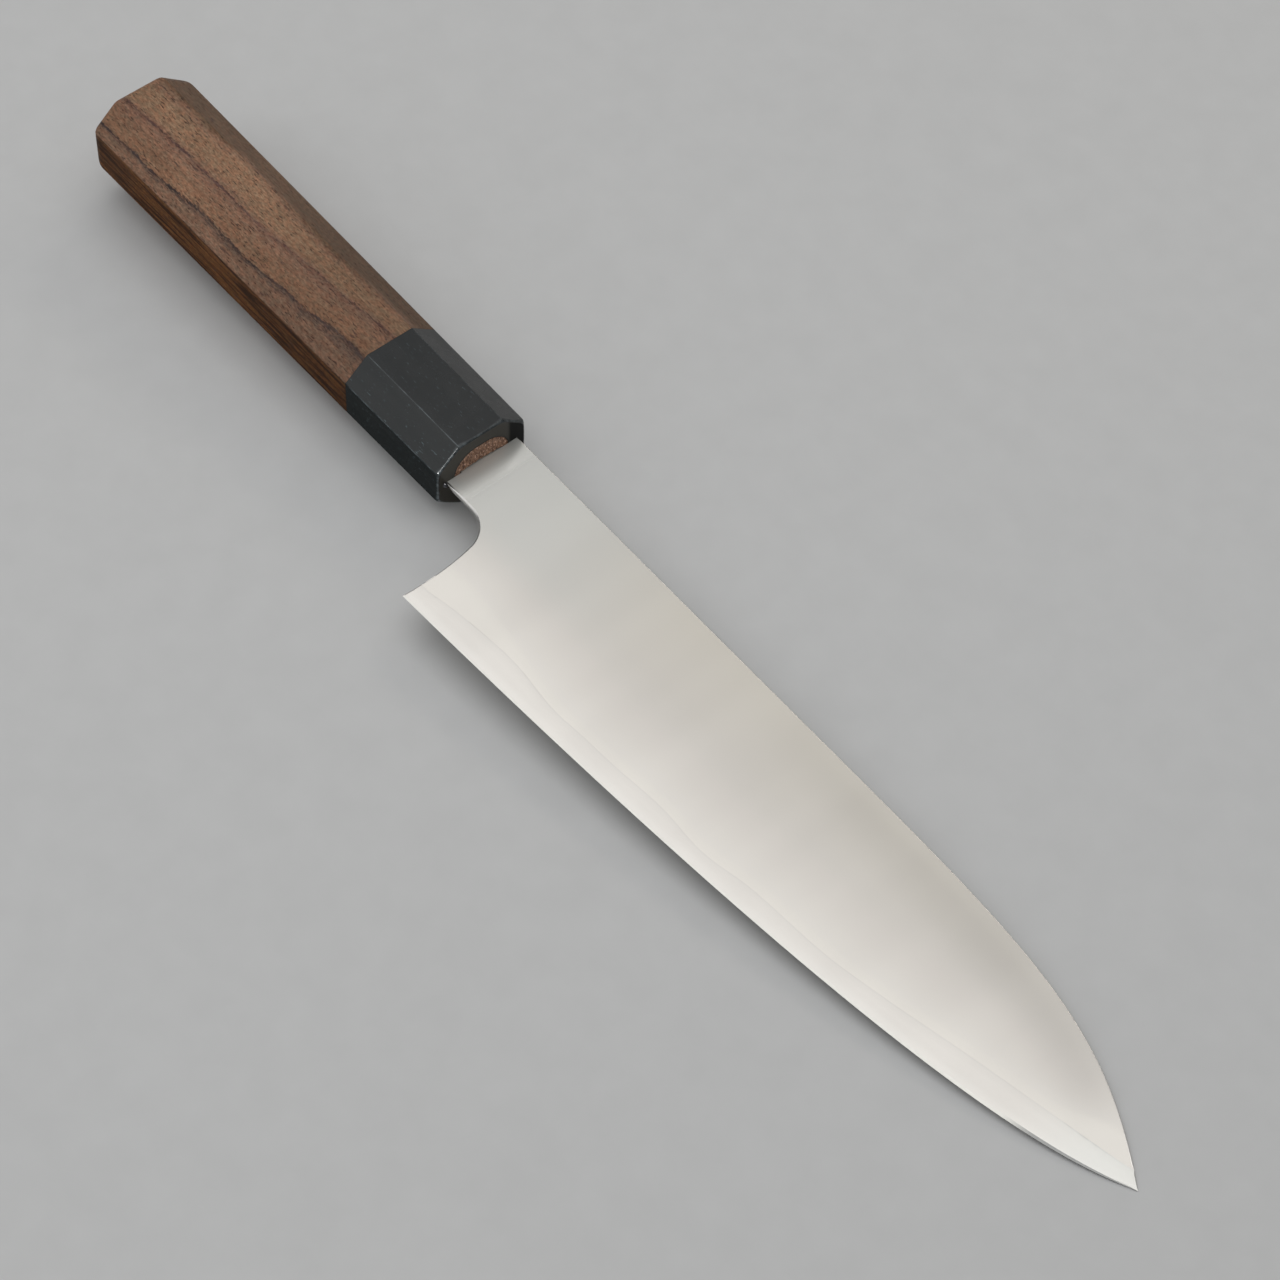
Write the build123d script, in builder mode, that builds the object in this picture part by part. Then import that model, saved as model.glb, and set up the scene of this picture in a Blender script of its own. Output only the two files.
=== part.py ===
from build123d import *
import math
import os

# Chef knife with a three-layer blade on a hidden tang and an octagonal handle.
# X runs along the handle towards the tip, Y towards the spine and Z out of the right side.
# The origin is the centre of the ferrule's front face, where the blade's shoulders seat.
# All sizes are in millimetres.

# Blade outline
edge_reach = 210.0  # heel to tip, along X
heel_setback = 18.63  # ferrule face to heel
heel_drop = 37.2  # handle axis down to the heel
tip_drop = 10.95  # handle axis down to the tip
spine_rise = 10.6  # handle axis up to the spine
neck_drop = 10.4  # handle axis down to the underside of the neck
spine_straight = 113.5  # ferrule face to where the spine starts to fall
spine_start_pull = 62.0  # how firmly the spine stays straight as it starts to fall
spine_tip_pull = 37.0
spine_tip_angle = 35.0  # fall of the spine at the tip, degrees
edge_heel_angle = 1.9  # rise of the cutting edge at the heel, degrees
edge_heel_pull = 175.0
edge_tip_angle = 25.0  # rise of the cutting edge at the tip, degrees
edge_tip_pull = 13.0
choil_start = 9.2  # ferrule face to where the neck turns down
choil_radius = 8.6
choil_turn = 78.5  # degrees turned before the long flat arc down to the heel

# Blade thickness
spine_thickness = 2.1  # ground flat, at the shoulders
spine_thickness_front = 1.75  # at the end of the straight spine
heel_thickness = 0.56  # ground flat, carried down to the heel
core_thickness = 0.5  # hard middle layer
shoulder_thickness = 0.2  # just behind the sharpening bevel
easing_radius = 0.25  # along the spine, neck and choil

# Lines along the blade's sides
bevel_at_heel = 0.4  # height of the sharpening bevel
bevel_at_tip = 0.9  # the same, measured back along the spine
clad_at_heel = 5.1  # where the soft layers end, up the choil from the heel
clad_at_tip = 4.6  # the same, measured back along the spine
clad_heights = [7.1, 5.8, 5.4, 5.0, 5.4, 5.2, 6.2, 7.4, 6.8]  # above the edge, evenly spaced

# Tang
tang_length = 92.0
tang_height = 11.4  # at the shoulders
tang_thickness = 1.55  # at the shoulders
tang_end_height = 6.5
tang_end_thickness = 1.3

# Handle: an octagon that widens towards the butt
handle_length = 135.3
ferrule_length = 34.2
front_height = 25.5
front_thickness = 21.0
corner_cut = 6.4  # what each bevel facet takes off the front's height
corner_angle = 40.0  # between a bevel facet and the flat side, degrees
handle_taper = 0.5  # each facet's spread towards the butt, degrees
crease_radius = 0.5
ferrule_rim_radius = 0.8
butt_rim_radius = 3.0

# Wooden dowel that joins ferrule and handle, and holds the tang
bore_height = 16.2
bore_thickness = 13.6
glue_gap = 0.15
tang_clearance = 0.3
slot_end_gap = 3.0  # room past the tang's end
dowel_end_wall = 5.0  # wood left past the slot
dowel_length = tang_length + slot_end_gap + dowel_end_wall
bedding_recess = 1.0  # the bedding stops this far inside the mouth
bead_radius = 0.85  # bead of set adhesive below the neck

os.makedirs("parts", exist_ok=True)

# Points, curves and planes that several pieces share

heel = Vector(heel_setback, -heel_drop)
tip = Vector(heel_setback + edge_reach, -tip_drop)

spine_bend = Vector(spine_straight, spine_rise)
spine_tip_direction = Vector(1, 0).rotate(Axis.Z, -spine_tip_angle)
edge_heel_direction = Vector(1, 0).rotate(Axis.Z, edge_heel_angle)
edge_tip_direction = Vector(1, 0).rotate(Axis.Z, edge_tip_angle)

spine_fall = Bezier(
    spine_bend,
    spine_bend + Vector(spine_start_pull, 0),
    tip - spine_tip_direction * spine_tip_pull,
    tip,
)
cutting_edge = Bezier(
    heel,
    heel + edge_heel_direction * edge_heel_pull,
    tip - edge_tip_direction * edge_tip_pull,
    tip,
)
choil_bend = JernArc((choil_start, -neck_drop), (1, 0), choil_radius, -choil_turn)
choil_drop = TangentArc(choil_bend @ 1, heel, tangent=choil_bend % 1)


def up_the_choil(distance):
    """Point on the choil, this far up from the heel."""
    return choil_drop @ (1 - distance / choil_drop.length)


def back_from_tip(distance):
    """Point on the spine, this far back from the tip."""
    return spine_fall @ (1 - distance / spine_fall.length)


def along_edge(fraction, height):
    """Point this high above the cutting edge."""
    return cutting_edge @ fraction + Vector(0, height)


bevel_start = up_the_choil(bevel_at_heel)
bevel_end = back_from_tip(bevel_at_tip)
bevel_line = Bezier(
    bevel_start,
    bevel_start + edge_heel_direction * edge_heel_pull,
    bevel_end - edge_tip_direction * edge_tip_pull,
    bevel_end,
)
clad_steps = len(clad_heights) + 1
clad_line = Spline(
    up_the_choil(clad_at_heel),
    *[along_edge((i + 1) / clad_steps, height) for i, height in enumerate(clad_heights)],
    back_from_tip(clad_at_tip),
)

# The right side's ground flat, through three points of known thickness
flat_corner = Vector(0, spine_rise, spine_thickness / 2)
flat_along = Vector(spine_straight, spine_rise, spine_thickness_front / 2) - flat_corner
flat_down = Vector(heel.X, heel.Y, heel_thickness / 2) - flat_corner
flat_normal = flat_along.cross(-flat_down).normalized()
right_flat = Plane(origin=flat_corner, x_dir=flat_along, z_dir=flat_normal)


def draw_blade(lower_line):
    """Closed outline of blade and tang above a line that runs from the choil to the spine."""
    with BuildLine() as outline:
        Line((0, spine_rise), spine_bend)
        add(spine_fall.trim(0, lower_line @ 1))
        add(lower_line)
        add(choil_drop.trim(0, lower_line @ 0))
        add(choil_bend)
        Polyline(
            choil_bend @ 0,
            (0, -neck_drop),
            (0, -tang_height / 2),
            (-tang_length, -tang_end_height / 2),
            (-tang_length, tang_end_height / 2),
            (0, tang_height / 2),
            (0, spine_rise),
        )
    make_face(outline.edges())


def draw_tang(clearance, extra_length):
    """Outline of the tang alone, grown by a clearance."""
    with BuildLine() as outline:
        Polyline(
            (0, tang_height / 2 + clearance),
            (0, -tang_height / 2 - clearance),
            (-tang_length - extra_length, -tang_end_height / 2 - clearance),
            (-tang_length - extra_length, tang_end_height / 2 + clearance),
            close=True,
        )
    make_face(outline.edges())


# Space under the right side's surfaces: the ground blade, and the tang behind it
with BuildPart() as right_side:
    with BuildSketch():
        with Locations((tip.X / 2, 0)):
            Rectangle(tip.X, 2 * heel_drop)
    extrude(amount=spine_thickness)
    split(bisect_by=right_flat, keep=Keep.BOTTOM)
    with BuildSketch(Plane.XZ.offset(-heel_drop)):
        with BuildLine():
            Polyline(
                (0, 0),
                (-tang_length, 0),
                (-tang_length, tang_end_thickness / 2),
                (0, tang_thickness / 2),
                close=True,
            )
        make_face()
    extrude(amount=2 * heel_drop)

# Blade core: the hard middle layer, which runs on as the middle of the tang
with BuildPart() as blade_core:
    with BuildSketch():
        draw_blade(cutting_edge)
    with BuildSketch(Plane.XY.offset(shoulder_thickness / 2)):
        draw_blade(bevel_line)
    loft(ruled=True)
    with BuildSketch(Plane.XY.offset(shoulder_thickness / 2)) as behind_bevel:
        draw_blade(bevel_line)
    with BuildSketch(Plane.XY.offset(core_thickness / 2)) as at_clad_line:
        draw_blade(clad_line)
    loft(sections=[behind_bevel.sketch.face(), at_clad_line.sketch.face()], ruled=True)
    mirror(about=Plane.XY)
blade_core.part.label = "blade_core"
export_step(blade_core.part, "parts/blade_core.step")


# Right cladding: soft stainless layer, ground flat and ending at the clad line
with BuildPart() as right_cladding:
    with BuildSketch(Plane.XY.offset(core_thickness / 2)):
        draw_blade(clad_line)
    extrude(amount=spine_thickness)
    add(right_side.part, mode=Mode.INTERSECT)
    ground_flat = right_cladding.faces().filter_by(right_flat)[0]
    # The flat's rim, without its end at the shoulders and the long clad line
    rim = ground_flat.edges().sort_by(Axis.X)[1:].sort_by(SortBy.LENGTH)[:-1]
    fillet(rim, easing_radius)
right_cladding.part.label = "right_cladding"
export_step(right_cladding.part, "parts/right_cladding.step")

# Left cladding: the same layer on the other side
with BuildPart() as left_cladding:
    add(right_cladding.part.mirror(Plane.XY))
left_cladding.part.label = "left_cladding"
export_step(left_cladding.part, "parts/left_cladding.step")

# Outer form of ferrule and handle in one: an octagon whose facets spread towards the butt
with BuildPart() as handle_form:
    corner_drop = corner_cut * math.tan(math.radians(corner_angle))
    y, z = front_height / 2, front_thickness / 2
    with BuildSketch(Plane.YZ):
        with BuildLine():
            Polyline((y, 0), (y, z - corner_drop), (y - corner_cut, z), (0, z))
            mirror(about=Plane.YZ)
            mirror(about=Plane.XZ)
        make_face()
    extrude(amount=-handle_length)
    facets = handle_form.faces().filter_by(Axis.X, reverse=True)
    draft(facets, Plane.YZ, handle_taper)
    creases = handle_form.edges().filter_by(lambda edge: edge.length > ferrule_length)
    fillet(creases, crease_radius)
    fillet(handle_form.faces().sort_by(Axis.X)[0].edges(), butt_rim_radius)
    fillet(handle_form.faces().sort_by(Axis.X)[-1].edges(), ferrule_rim_radius)

# Ferrule: black horn, bored through
with BuildPart() as ferrule:
    add(handle_form.part)
    split(bisect_by=Plane.YZ.offset(-ferrule_length), keep=Keep.TOP)
    with BuildSketch(Plane.YZ):
        SlotOverall(bore_height, bore_thickness)
    extrude(amount=-ferrule_length, mode=Mode.SUBTRACT)
ferrule.part.label = "ferrule"
export_step(ferrule.part, "parts/ferrule.step")

# Handle body: one piece of wood with a blind bore for the dowel
with BuildPart() as handle_body:
    add(handle_form.part)
    split(bisect_by=Plane.YZ.offset(-ferrule_length), keep=Keep.BOTTOM)
    with BuildSketch(Plane.YZ.offset(-ferrule_length)):
        SlotOverall(bore_height, bore_thickness)
    extrude(amount=ferrule_length - dowel_length - glue_gap, mode=Mode.SUBTRACT)
handle_body.part.label = "handle_body"
export_step(handle_body.part, "parts/handle_body.step")

# Slot in the dowel, a little larger than the tang all round
with BuildPart() as tang_slot:
    with BuildSketch():
        draw_tang(tang_clearance, slot_end_gap)
    extrude(amount=tang_thickness / 2 + tang_clearance, both=True)

# Handle dowel: plain wood, through the ferrule and into the handle
with BuildPart() as handle_dowel:
    with BuildSketch(Plane.YZ):
        SlotOverall(bore_height - 2 * glue_gap, bore_thickness - 2 * glue_gap)
    extrude(amount=-dowel_length)
    add(tang_slot.part, mode=Mode.SUBTRACT)
handle_dowel.part.label = "handle_dowel"
export_step(handle_dowel.part, "parts/handle_dowel.step")

# Dowel adhesive: a thin sleeve round the dowel, closed at its end
with BuildPart() as dowel_adhesive:
    with BuildSketch(Plane.YZ):
        SlotOverall(bore_height, bore_thickness)
    extrude(amount=-dowel_length - glue_gap)
    with BuildSketch(Plane.YZ):
        SlotOverall(bore_height - 2 * glue_gap, bore_thickness - 2 * glue_gap)
    extrude(amount=-dowel_length, mode=Mode.SUBTRACT)
dowel_adhesive.part.label = "dowel_adhesive"
export_step(dowel_adhesive.part, "parts/dowel_adhesive.step")

# Tang bedding: adhesive that fills the slot round the tang, short of the mouth
with BuildPart() as tang_bedding:
    add(tang_slot.part)
    split(bisect_by=Plane.YZ.offset(-bedding_recess), keep=Keep.BOTTOM)
    add([blade_core.part, right_cladding.part, left_cladding.part], mode=Mode.SUBTRACT)
tang_bedding.part.label = "tang_bedding"
export_step(tang_bedding.part, "parts/tang_bedding.step")

# Adhesive bead: squeezed out below the neck, against the ferrule's face, clear of the flats
with BuildPart() as adhesive_bead:
    with Locations((0, -neck_drop - bead_radius / 2, 0)):
        Sphere(bead_radius)
    split(bisect_by=Plane.YZ, keep=Keep.TOP)
    add([blade_core.part, right_cladding.part, left_cladding.part], mode=Mode.SUBTRACT)
adhesive_bead.part.label = "adhesive_bead"
export_step(adhesive_bead.part, "parts/adhesive_bead.step")
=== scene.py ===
from math import cos, pi, radians, sin, tan

import bpy
import numpy as np
from mathutils import Matrix, Vector


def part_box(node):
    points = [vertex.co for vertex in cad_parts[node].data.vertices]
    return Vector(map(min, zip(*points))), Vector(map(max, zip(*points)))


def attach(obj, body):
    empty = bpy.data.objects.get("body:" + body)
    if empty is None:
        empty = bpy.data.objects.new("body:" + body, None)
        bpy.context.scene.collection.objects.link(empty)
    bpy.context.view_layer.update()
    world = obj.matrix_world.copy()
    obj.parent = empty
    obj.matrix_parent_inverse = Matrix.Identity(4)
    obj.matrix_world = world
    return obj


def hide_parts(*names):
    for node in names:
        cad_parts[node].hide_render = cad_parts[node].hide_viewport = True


# Looks of a chef knife: a three-layer blade on a hidden tang, a black horn ferrule and an
# octagonal wooden handle. Shapes are worked out in millimetres and put into meshes in metres,
# in the frame's own axes: X towards the tip, Y towards the spine, Z out of the right side.

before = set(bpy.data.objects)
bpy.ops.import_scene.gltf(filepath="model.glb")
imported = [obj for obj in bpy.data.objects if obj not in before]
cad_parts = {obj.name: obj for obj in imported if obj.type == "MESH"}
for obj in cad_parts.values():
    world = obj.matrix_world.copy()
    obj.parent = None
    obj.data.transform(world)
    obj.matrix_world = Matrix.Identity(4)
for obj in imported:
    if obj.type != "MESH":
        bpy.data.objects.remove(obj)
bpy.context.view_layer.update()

METRE = 1000.0  # millimetres


def node_corners(name):
    """Lowest and highest corner of a piece of the frame, in millimetres."""
    return [np.array(corner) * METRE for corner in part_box(name)]


core_low, core_high = node_corners("blade_core")
ferrule_low, _ = node_corners("ferrule")
handle_low, _ = node_corners("handle_body")
dowel_low, dowel_high = node_corners("handle_dowel")
sleeve_low, sleeve_high = node_corners("dowel_adhesive")
_, bead_high = node_corners("adhesive_bead")

# ------------------------------------------------------------------ sizes of the blade

HEEL = np.array([18.63, core_low[1]])
TIP = np.array([core_high[0], -10.95])
SPINE_RISE = core_high[1]
NECK_DROP = 10.4  # handle's axis down to the neck's underside
SPINE_STRAIGHT = 113.5  # ferrule face to where the spine starts to fall
SPINE_PULLS = (62.0, 37.0)  # how firmly the curve keeps to its end directions
SPINE_TIP_ANGLE = radians(-35.0)
EDGE_PULLS = (175.0, 13.0)
EDGE_ANGLES = (radians(1.9), radians(25.0))  # rise at the heel and at the tip
CHOIL_START = 9.2  # ferrule face to where the neck turns down
CHOIL_RADIUS = 8.6
CHOIL_TURN = radians(78.5)

SPINE_THICKNESS = 2.1
SPINE_THICKNESS_FRONT = 1.75
HEEL_THICKNESS = 0.56  # where the ground flat would meet the heel
CORE_HALF = 0.20  # half of the hard middle layer
SHOULDER_HALF = 0.10  # half of the thickness just behind the sharpening bevel
CONVEX_BAND = 11.0  # height above the edge at which the sides start to bend in
CONVEX_SOFTNESS = 0.012  # how gently the bend begins
BEVEL_WIDTHS = [(HEEL[0], 0.35), (120.0, 0.5), (205.0, 0.8), (TIP[0], 1.0)]  # (x, width)
SPINE_EASING = 0.32  # radius of the spine's rounding
CORE_EASING = 0.25  # the same on the core, by the tip
# The same on neck and choil, as (distance from the ferrule round the back, radius)
BACK_EASINGS = [(0.0, 0.50), (9.0, 0.58), (20.0, 0.36), (41.0, 0.14)]
BACK_FADE = 1.5  # length in which that rounding fades out where the soft layers end
TIP_FADE = 0.8  # and in which the core's own rounding starts at the tip
TANG_LENGTH = -core_low[0]
TANG_HEIGHTS = (11.4, 6.5)  # at the shoulders and at the end
TANG_HALVES = (0.775, 0.65)  # half thickness at the shoulders and at the end

# Where the soft layers end: a wavy line above the edge, from the choil to the spine
CLAD_LINE = [
    (18.90, -32.1), (22.6, -31.7), (28.8, -30.6), (38.0, -29.5), (48.8, -28.9), (62.6, -30.0),
    (71.8, -29.5), (84.2, -28.8), (98.0, -27.7), (111.8, -28.1), (125.7, -25.8), (142.6, -24.6),
    (151.8, -23.5), (167.2, -20.5), (182.6, -17.1), (198.0, -14.0), (213.4, -10.9), (219.5, -9.7),
]  # fmt: skip
CLAD_END_BACK = 4.6  # from the tip back along the spine to where the line ends
LEAST_CLAD = 0.002  # least thickness of a soft layer, at its end
LAP = 0.4  # how far the core goes on under the soft layers before it sinks
LAP_AT_CHOIL = 4.0  # the same at the choil, where the line is seen from the end
LAP_ENDS = [22.0, 34.0]  # x between which the lap narrows
LAP_DROP = 0.005  # how far under the soft layers the lap lies
# Where the bare core's edge is eased by the heel, as (distance round the back, thickness left)
CHOIL_THINNING = [(34.5, 1.0), (36.5, 0.6)]
TANG_VALUE = 9.0  # what the tang's points carry for distances on the blade

# ------------------------------------------------------------------ sizes of the handle

FRONT_HALF_HEIGHT = 12.75
FRONT_HALF_THICKNESS = 10.5
CORNER_CUT = 6.4  # what each bevel facet takes off the front's height
CORNER_ANGLE = radians(40.0)
TAPER = tan(radians(0.5))  # each facet's spread towards the butt
CREASE_RADIUS = 0.45
FERRULE_LENGTH = -ferrule_low[0]
BUTT = -handle_low[0]
FERRULE_RIM = 0.5  # rounding of the ferrule's front in the middle of a facet
FRONT_CREASE_DEPTH = 0.6  # how much farther back it starts at the creases
FRONT_CREASE_REACH = 2.2  # how far to each side of a crease that reaches
FRONT_CORNER_RADIUS = 3.5  # corners of the front face
BUTT_INSET = 1.5  # how far the butt's rim pulls in, and the length in which it does
BUTT_RIM_DEPTH = 3.4
BUTT_CORNER_RADIUS = 4.0
BUTT_CROWN = 0.75
LEAN_AT_CROWN = 0.05  # how far short of a quarter turn the butt's rim meets the crown
JOINT_RIM = 0.06  # tiny easing where horn and wood meet
MOUTH_EASING = 0.12  # rounding of the bore's mouth
BORE_HALF_HEIGHT = sleeve_high[1]
BORE_HALF_THICKNESS = sleeve_high[2]
DOWEL_HALF_HEIGHT = dowel_high[1]
DOWEL_HALF_THICKNESS = dowel_high[2]
DOWEL_LENGTH = -dowel_low[0]
SLOT_HALF_HEIGHT = 6.0
SLOT_HALF_THICKNESS = 1.075
SLOT_DEPTH = 95.0

# Dark growth lines of the wood, as (x, y) of where they run: along the crease on the spine's
# side, over the top facet, and down the bevel on the edge's side
UPPER_LINE = [
    (-136, 5.7), (-110, 5.6), (-98, 7.2), (-85, 6.5), (-67.5, 5.5), (-57.5, 6.0), (-34, 7.6),
]  # fmt: skip
MIDDLE_LINE = [
    (-136, -4.5), (-122, -4.0), (-110, -3.15), (-99, -3.1), (-87, -2.8), (-78, -2.8), (-72.5, -2.0),
    (-62, -1.0), (-52, -0.2), (-42.5, 0.9), (-34, 1.8),
]  # fmt: skip
LOWER_LINE = [
    (-136, -11.5), (-128, -11.6), (-120, -11.2), (-114, -11.4), (-102, -10.5), (-95, -9.9),
    (-85, -9.95), (-73, -9.9), (-61, -8.85), (-55, -8.8), (-47.5, -7.8), (-41.5, -7.3),
    (-34, -7.45),
]  # fmt: skip
LINE_NUMBERS = (-8.0, 0.0, 8.0)  # the layer numbers of the lower, middle and upper line
# Past this crease the side facet is striped heartwood, painted much darker as painted shade.
HEARTWOOD_AND_SHADE_NUMBER = -12.0  # the layer at the crease between that bevel and the side facet
LAYER_TILT = 0.35  # how much the layers rise towards the edge side, in y for each z

WELD = 1e-4  # points nearer than this are one
WELD_OFFSET = 0.37  # keeps the cells' borders off round numbers
SHARP_ANGLE = radians(25)  # between faces that meet in a sharp edge

# ------------------------------------------------------------------ curves


def bezier(start, start_pull, end_pull, end, count=500):
    """Cubic Bezier curve: four points weighted by (1-t)^3, 3t(1-t)^2, 3t^2(1-t) and t^3."""
    t = np.linspace(0, 1, count)[:, None]
    return (
        (1 - t) ** 3 * start
        + 3 * t * (1 - t) ** 2 * start_pull
        + 3 * t**2 * (1 - t) * end_pull
        + t**3 * end
    )


def arc(centre, radius, start_angle, end_angle, count=120):
    """Circular arc: centre plus radius times the cosine and sine of an even run of angles."""
    angle = np.linspace(start_angle, end_angle, count)
    return np.array(centre) + radius * np.column_stack([np.cos(angle), np.sin(angle)])


def smooth_through(points, count=900):
    """Catmull-Rom curve: between two points a cubic whose end slopes follow their neighbours."""
    p = np.array(points)
    slope = np.gradient(p, axis=0)
    place = np.linspace(0, len(p) - 1 - 1e-9, count)
    i = place.astype(int)
    t = (place - i)[:, None]
    rise = t**2 * (3 - 2 * t)
    return (
        p[i] * (1 - rise)
        + p[i + 1] * rise
        + slope[i] * t * (1 - t) ** 2
        - slope[i + 1] * t**2 * (1 - t)
    )


def direction(angle):
    """Unit vector at this angle."""
    return np.array([cos(angle), sin(angle)])


def lengths_along(path):
    """Distance of each point of a path from its start, along the path."""
    return np.concatenate([[0], np.cumsum(np.hypot(*np.diff(path, axis=0).T))])


def point_at(path, distance):
    """Points of a path at these distances from its start."""
    run = lengths_along(path)
    return np.column_stack([np.interp(distance, run, path[:, k]) for k in (0, 1)])


spine_bend = np.array([SPINE_STRAIGHT, SPINE_RISE])
spine = np.vstack(
    [
        np.linspace([0, SPINE_RISE], spine_bend, 200)[:-1],
        bezier(
            spine_bend,
            spine_bend + (SPINE_PULLS[0], 0),
            TIP - SPINE_PULLS[1] * direction(SPINE_TIP_ANGLE),
            TIP,
        ),
    ]
)
edge = bezier(
    HEEL,
    HEEL + EDGE_PULLS[0] * direction(EDGE_ANGLES[0]),
    TIP - EDGE_PULLS[1] * direction(EDGE_ANGLES[1]),
    TIP,
)

# The choil: a tight arc off the neck's underside, then a long flat one down to the heel
bend_centre = np.array([CHOIL_START, -NECK_DROP - CHOIL_RADIUS])
bend_end_angle = pi / 2 - CHOIL_TURN
bend_end = bend_centre + CHOIL_RADIUS * direction(bend_end_angle)
chord = HEEL - bend_end
turn = bend_end_angle - pi / 2 - np.arctan2(chord[1], chord[0])
drop_radius = np.hypot(*chord) / (2 * sin(turn))
drop_centre = bend_end - drop_radius * direction(bend_end_angle)
back = np.vstack(
    [
        np.linspace([0, -NECK_DROP], [CHOIL_START, -NECK_DROP], 40)[:-1],
        arc(bend_centre, CHOIL_RADIUS, pi / 2, bend_end_angle)[:-1],
        arc(drop_centre, drop_radius, bend_end_angle, bend_end_angle - 2 * turn),
    ]
)
back_length = lengths_along(back)[-1]
spine_length = lengths_along(spine)[-1]
clad_end = point_at(spine, [spine_length - CLAD_END_BACK])[0]
clad_line = smooth_through(CLAD_LINE + [tuple(clad_end)])

# ------------------------------------------------------------------ thickness of the blade


def soft_least(a, b, softness):
    """Smooth minimum: minus the softness times the log of the sum of exponentials."""
    return -softness * np.logaddexp(-a / softness, -b / softness)


def above(line, x, y):
    """Distance above a line that runs along X, square to it; negative below it."""
    height = np.interp(x, line[:, 0], line[:, 1])
    slope = np.interp(x, line[:, 0], np.gradient(line[:, 1], line[:, 0]))
    return (y - height) * np.cos(np.arctan(slope))


def bevel_width(x):
    """Width of the sharpening bevel: narrow at the heel, broad at the tip."""
    return np.interp(x, *zip(*BEVEL_WIDTHS))


def ground_flat(x, y):
    """Half thickness of the flat that runs from spine to edge: a plane falling along X and -Y."""
    along = (SPINE_THICKNESS - SPINE_THICKNESS_FRONT) / 2 / SPINE_STRAIGHT
    at_heel = SPINE_THICKNESS / 2 - along * HEEL[0]
    down = (at_heel - HEEL_THICKNESS / 2) / (SPINE_RISE - HEEL[1])
    return SPINE_THICKNESS / 2 - along * x - down * (SPINE_RISE - y)


def side_height(x, y):
    """Half thickness of the blade: the flat, bent in to the shoulder near the edge, and the
    sharpening bevel below it."""
    gap = above(edge, x, y)
    width = bevel_width(x)
    band_top = ground_flat(x, y + CONVEX_BAND - gap)
    rise = (band_top - SHOULDER_HALF) / (CONVEX_BAND - width)
    bent_in = SHOULDER_HALF + rise * (gap - width)
    height = soft_least(ground_flat(x, y), bent_in, CONVEX_SOFTNESS)
    bevel = SHOULDER_HALF * np.clip(gap / width, 0, 1)
    return np.where(gap < width, bevel, np.maximum(height, SHOULDER_HALF))


# ------------------------------------------------------------------ meshes from arrays


def weld(points, quads):
    """Gives each place one point: points are sorted into cells of the weld distance, quads are
    renumbered, and a quad with two corners in one place becomes a triangle or goes."""
    cells = np.floor(points / WELD + WELD_OFFSET).astype(np.int64)
    _, first, number = np.unique(cells, axis=0, return_index=True, return_inverse=True)
    quads = number.reshape(-1)[quads]
    same = quads == np.roll(quads, -1, axis=1)
    return first, quads, same


def make_piece(name, points, quads, materials, bands=None, normals=None, values=None):
    """One object: points in millimetres, quads of point numbers, a material number for each
    quad, and if given each point's normal and named values that its materials read."""
    first, quads, same = weld(points, quads)
    opposite = (quads[:, 0] == quads[:, 2]) | (quads[:, 1] == quads[:, 3])
    merged = same.sum(1)
    whole = (merged == 0) & ~opposite
    part = (merged == 1) & ~opposite
    keep = ~same[part]
    triangles = quads[part][keep].reshape(-1, 3)
    faces = quads[whole].tolist() + triangles.tolist()
    mesh = bpy.data.meshes.new(name)
    mesh.from_pydata((points[first] / METRE).tolist(), [], faces)
    for material in materials:
        mesh.materials.append(material)
    if bands is not None:
        index = np.concatenate([bands[whole], bands[part]]).astype(np.int32)
        mesh.polygons.foreach_set("material_index", index)
    mesh.shade_smooth()
    if normals is None:
        mesh.set_sharp_from_angle(angle=SHARP_ANGLE)
    else:
        mesh.normals_split_custom_set_from_vertices(normals[first].tolist())
    for label, numbers in (values or {}).items():
        layer = mesh.attributes.new(label, "FLOAT", "POINT")
        layer.data.foreach_set("value", numbers[first].astype(np.float32))
    mesh.update()
    piece = bpy.data.objects.new(name, mesh)
    bpy.context.scene.collection.objects.link(piece)
    return piece


def quads_between(number):
    """Quads between the neighbouring rows and columns of a grid of point numbers."""
    corners = [number[:-1, :-1], number[1:, :-1], number[1:, 1:], number[:-1, 1:]]
    return np.stack([c.ravel() for c in corners], axis=1)


def fan_grid(lower, upper, low_gaps, high_gaps, middle):
    """Grid of points on straight lines from each lower station to its upper partner. The first
    rows lie at given gaps square to the lower line and the last ones at gaps from the upper
    line; where the two lines come together all gaps shrink alike. The rest are evenly spaced."""
    least_slant, most_share = 0.15, 0.45
    across = upper - lower
    length = np.maximum(np.hypot(*across.T), 1e-9)
    unit = across / length[:, None]

    def shares(path, gaps):
        run = np.gradient(path, axis=0)
        run /= np.maximum(np.hypot(*run.T), 1e-9)[:, None]
        slant = np.abs(unit[:, 0] * run[:, 1] - unit[:, 1] * run[:, 0])
        share = gaps / (length * np.maximum(slant, least_slant))[:, None]
        return share * np.minimum(1, most_share / np.maximum(share.max(1), 1e-9))[:, None]

    low = shares(lower, low_gaps)
    high = 1 - shares(upper, high_gaps)[:, ::-1]
    steps = np.linspace(0, 1, middle + 2)[1:-1]
    between = low[:, -1:] + (high[:, :1] - low[:, -1:]) * steps
    share = np.hstack([low, between, high])[:, :, None]
    return lower[:, None, :] + across[:, None, :] * share


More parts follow.
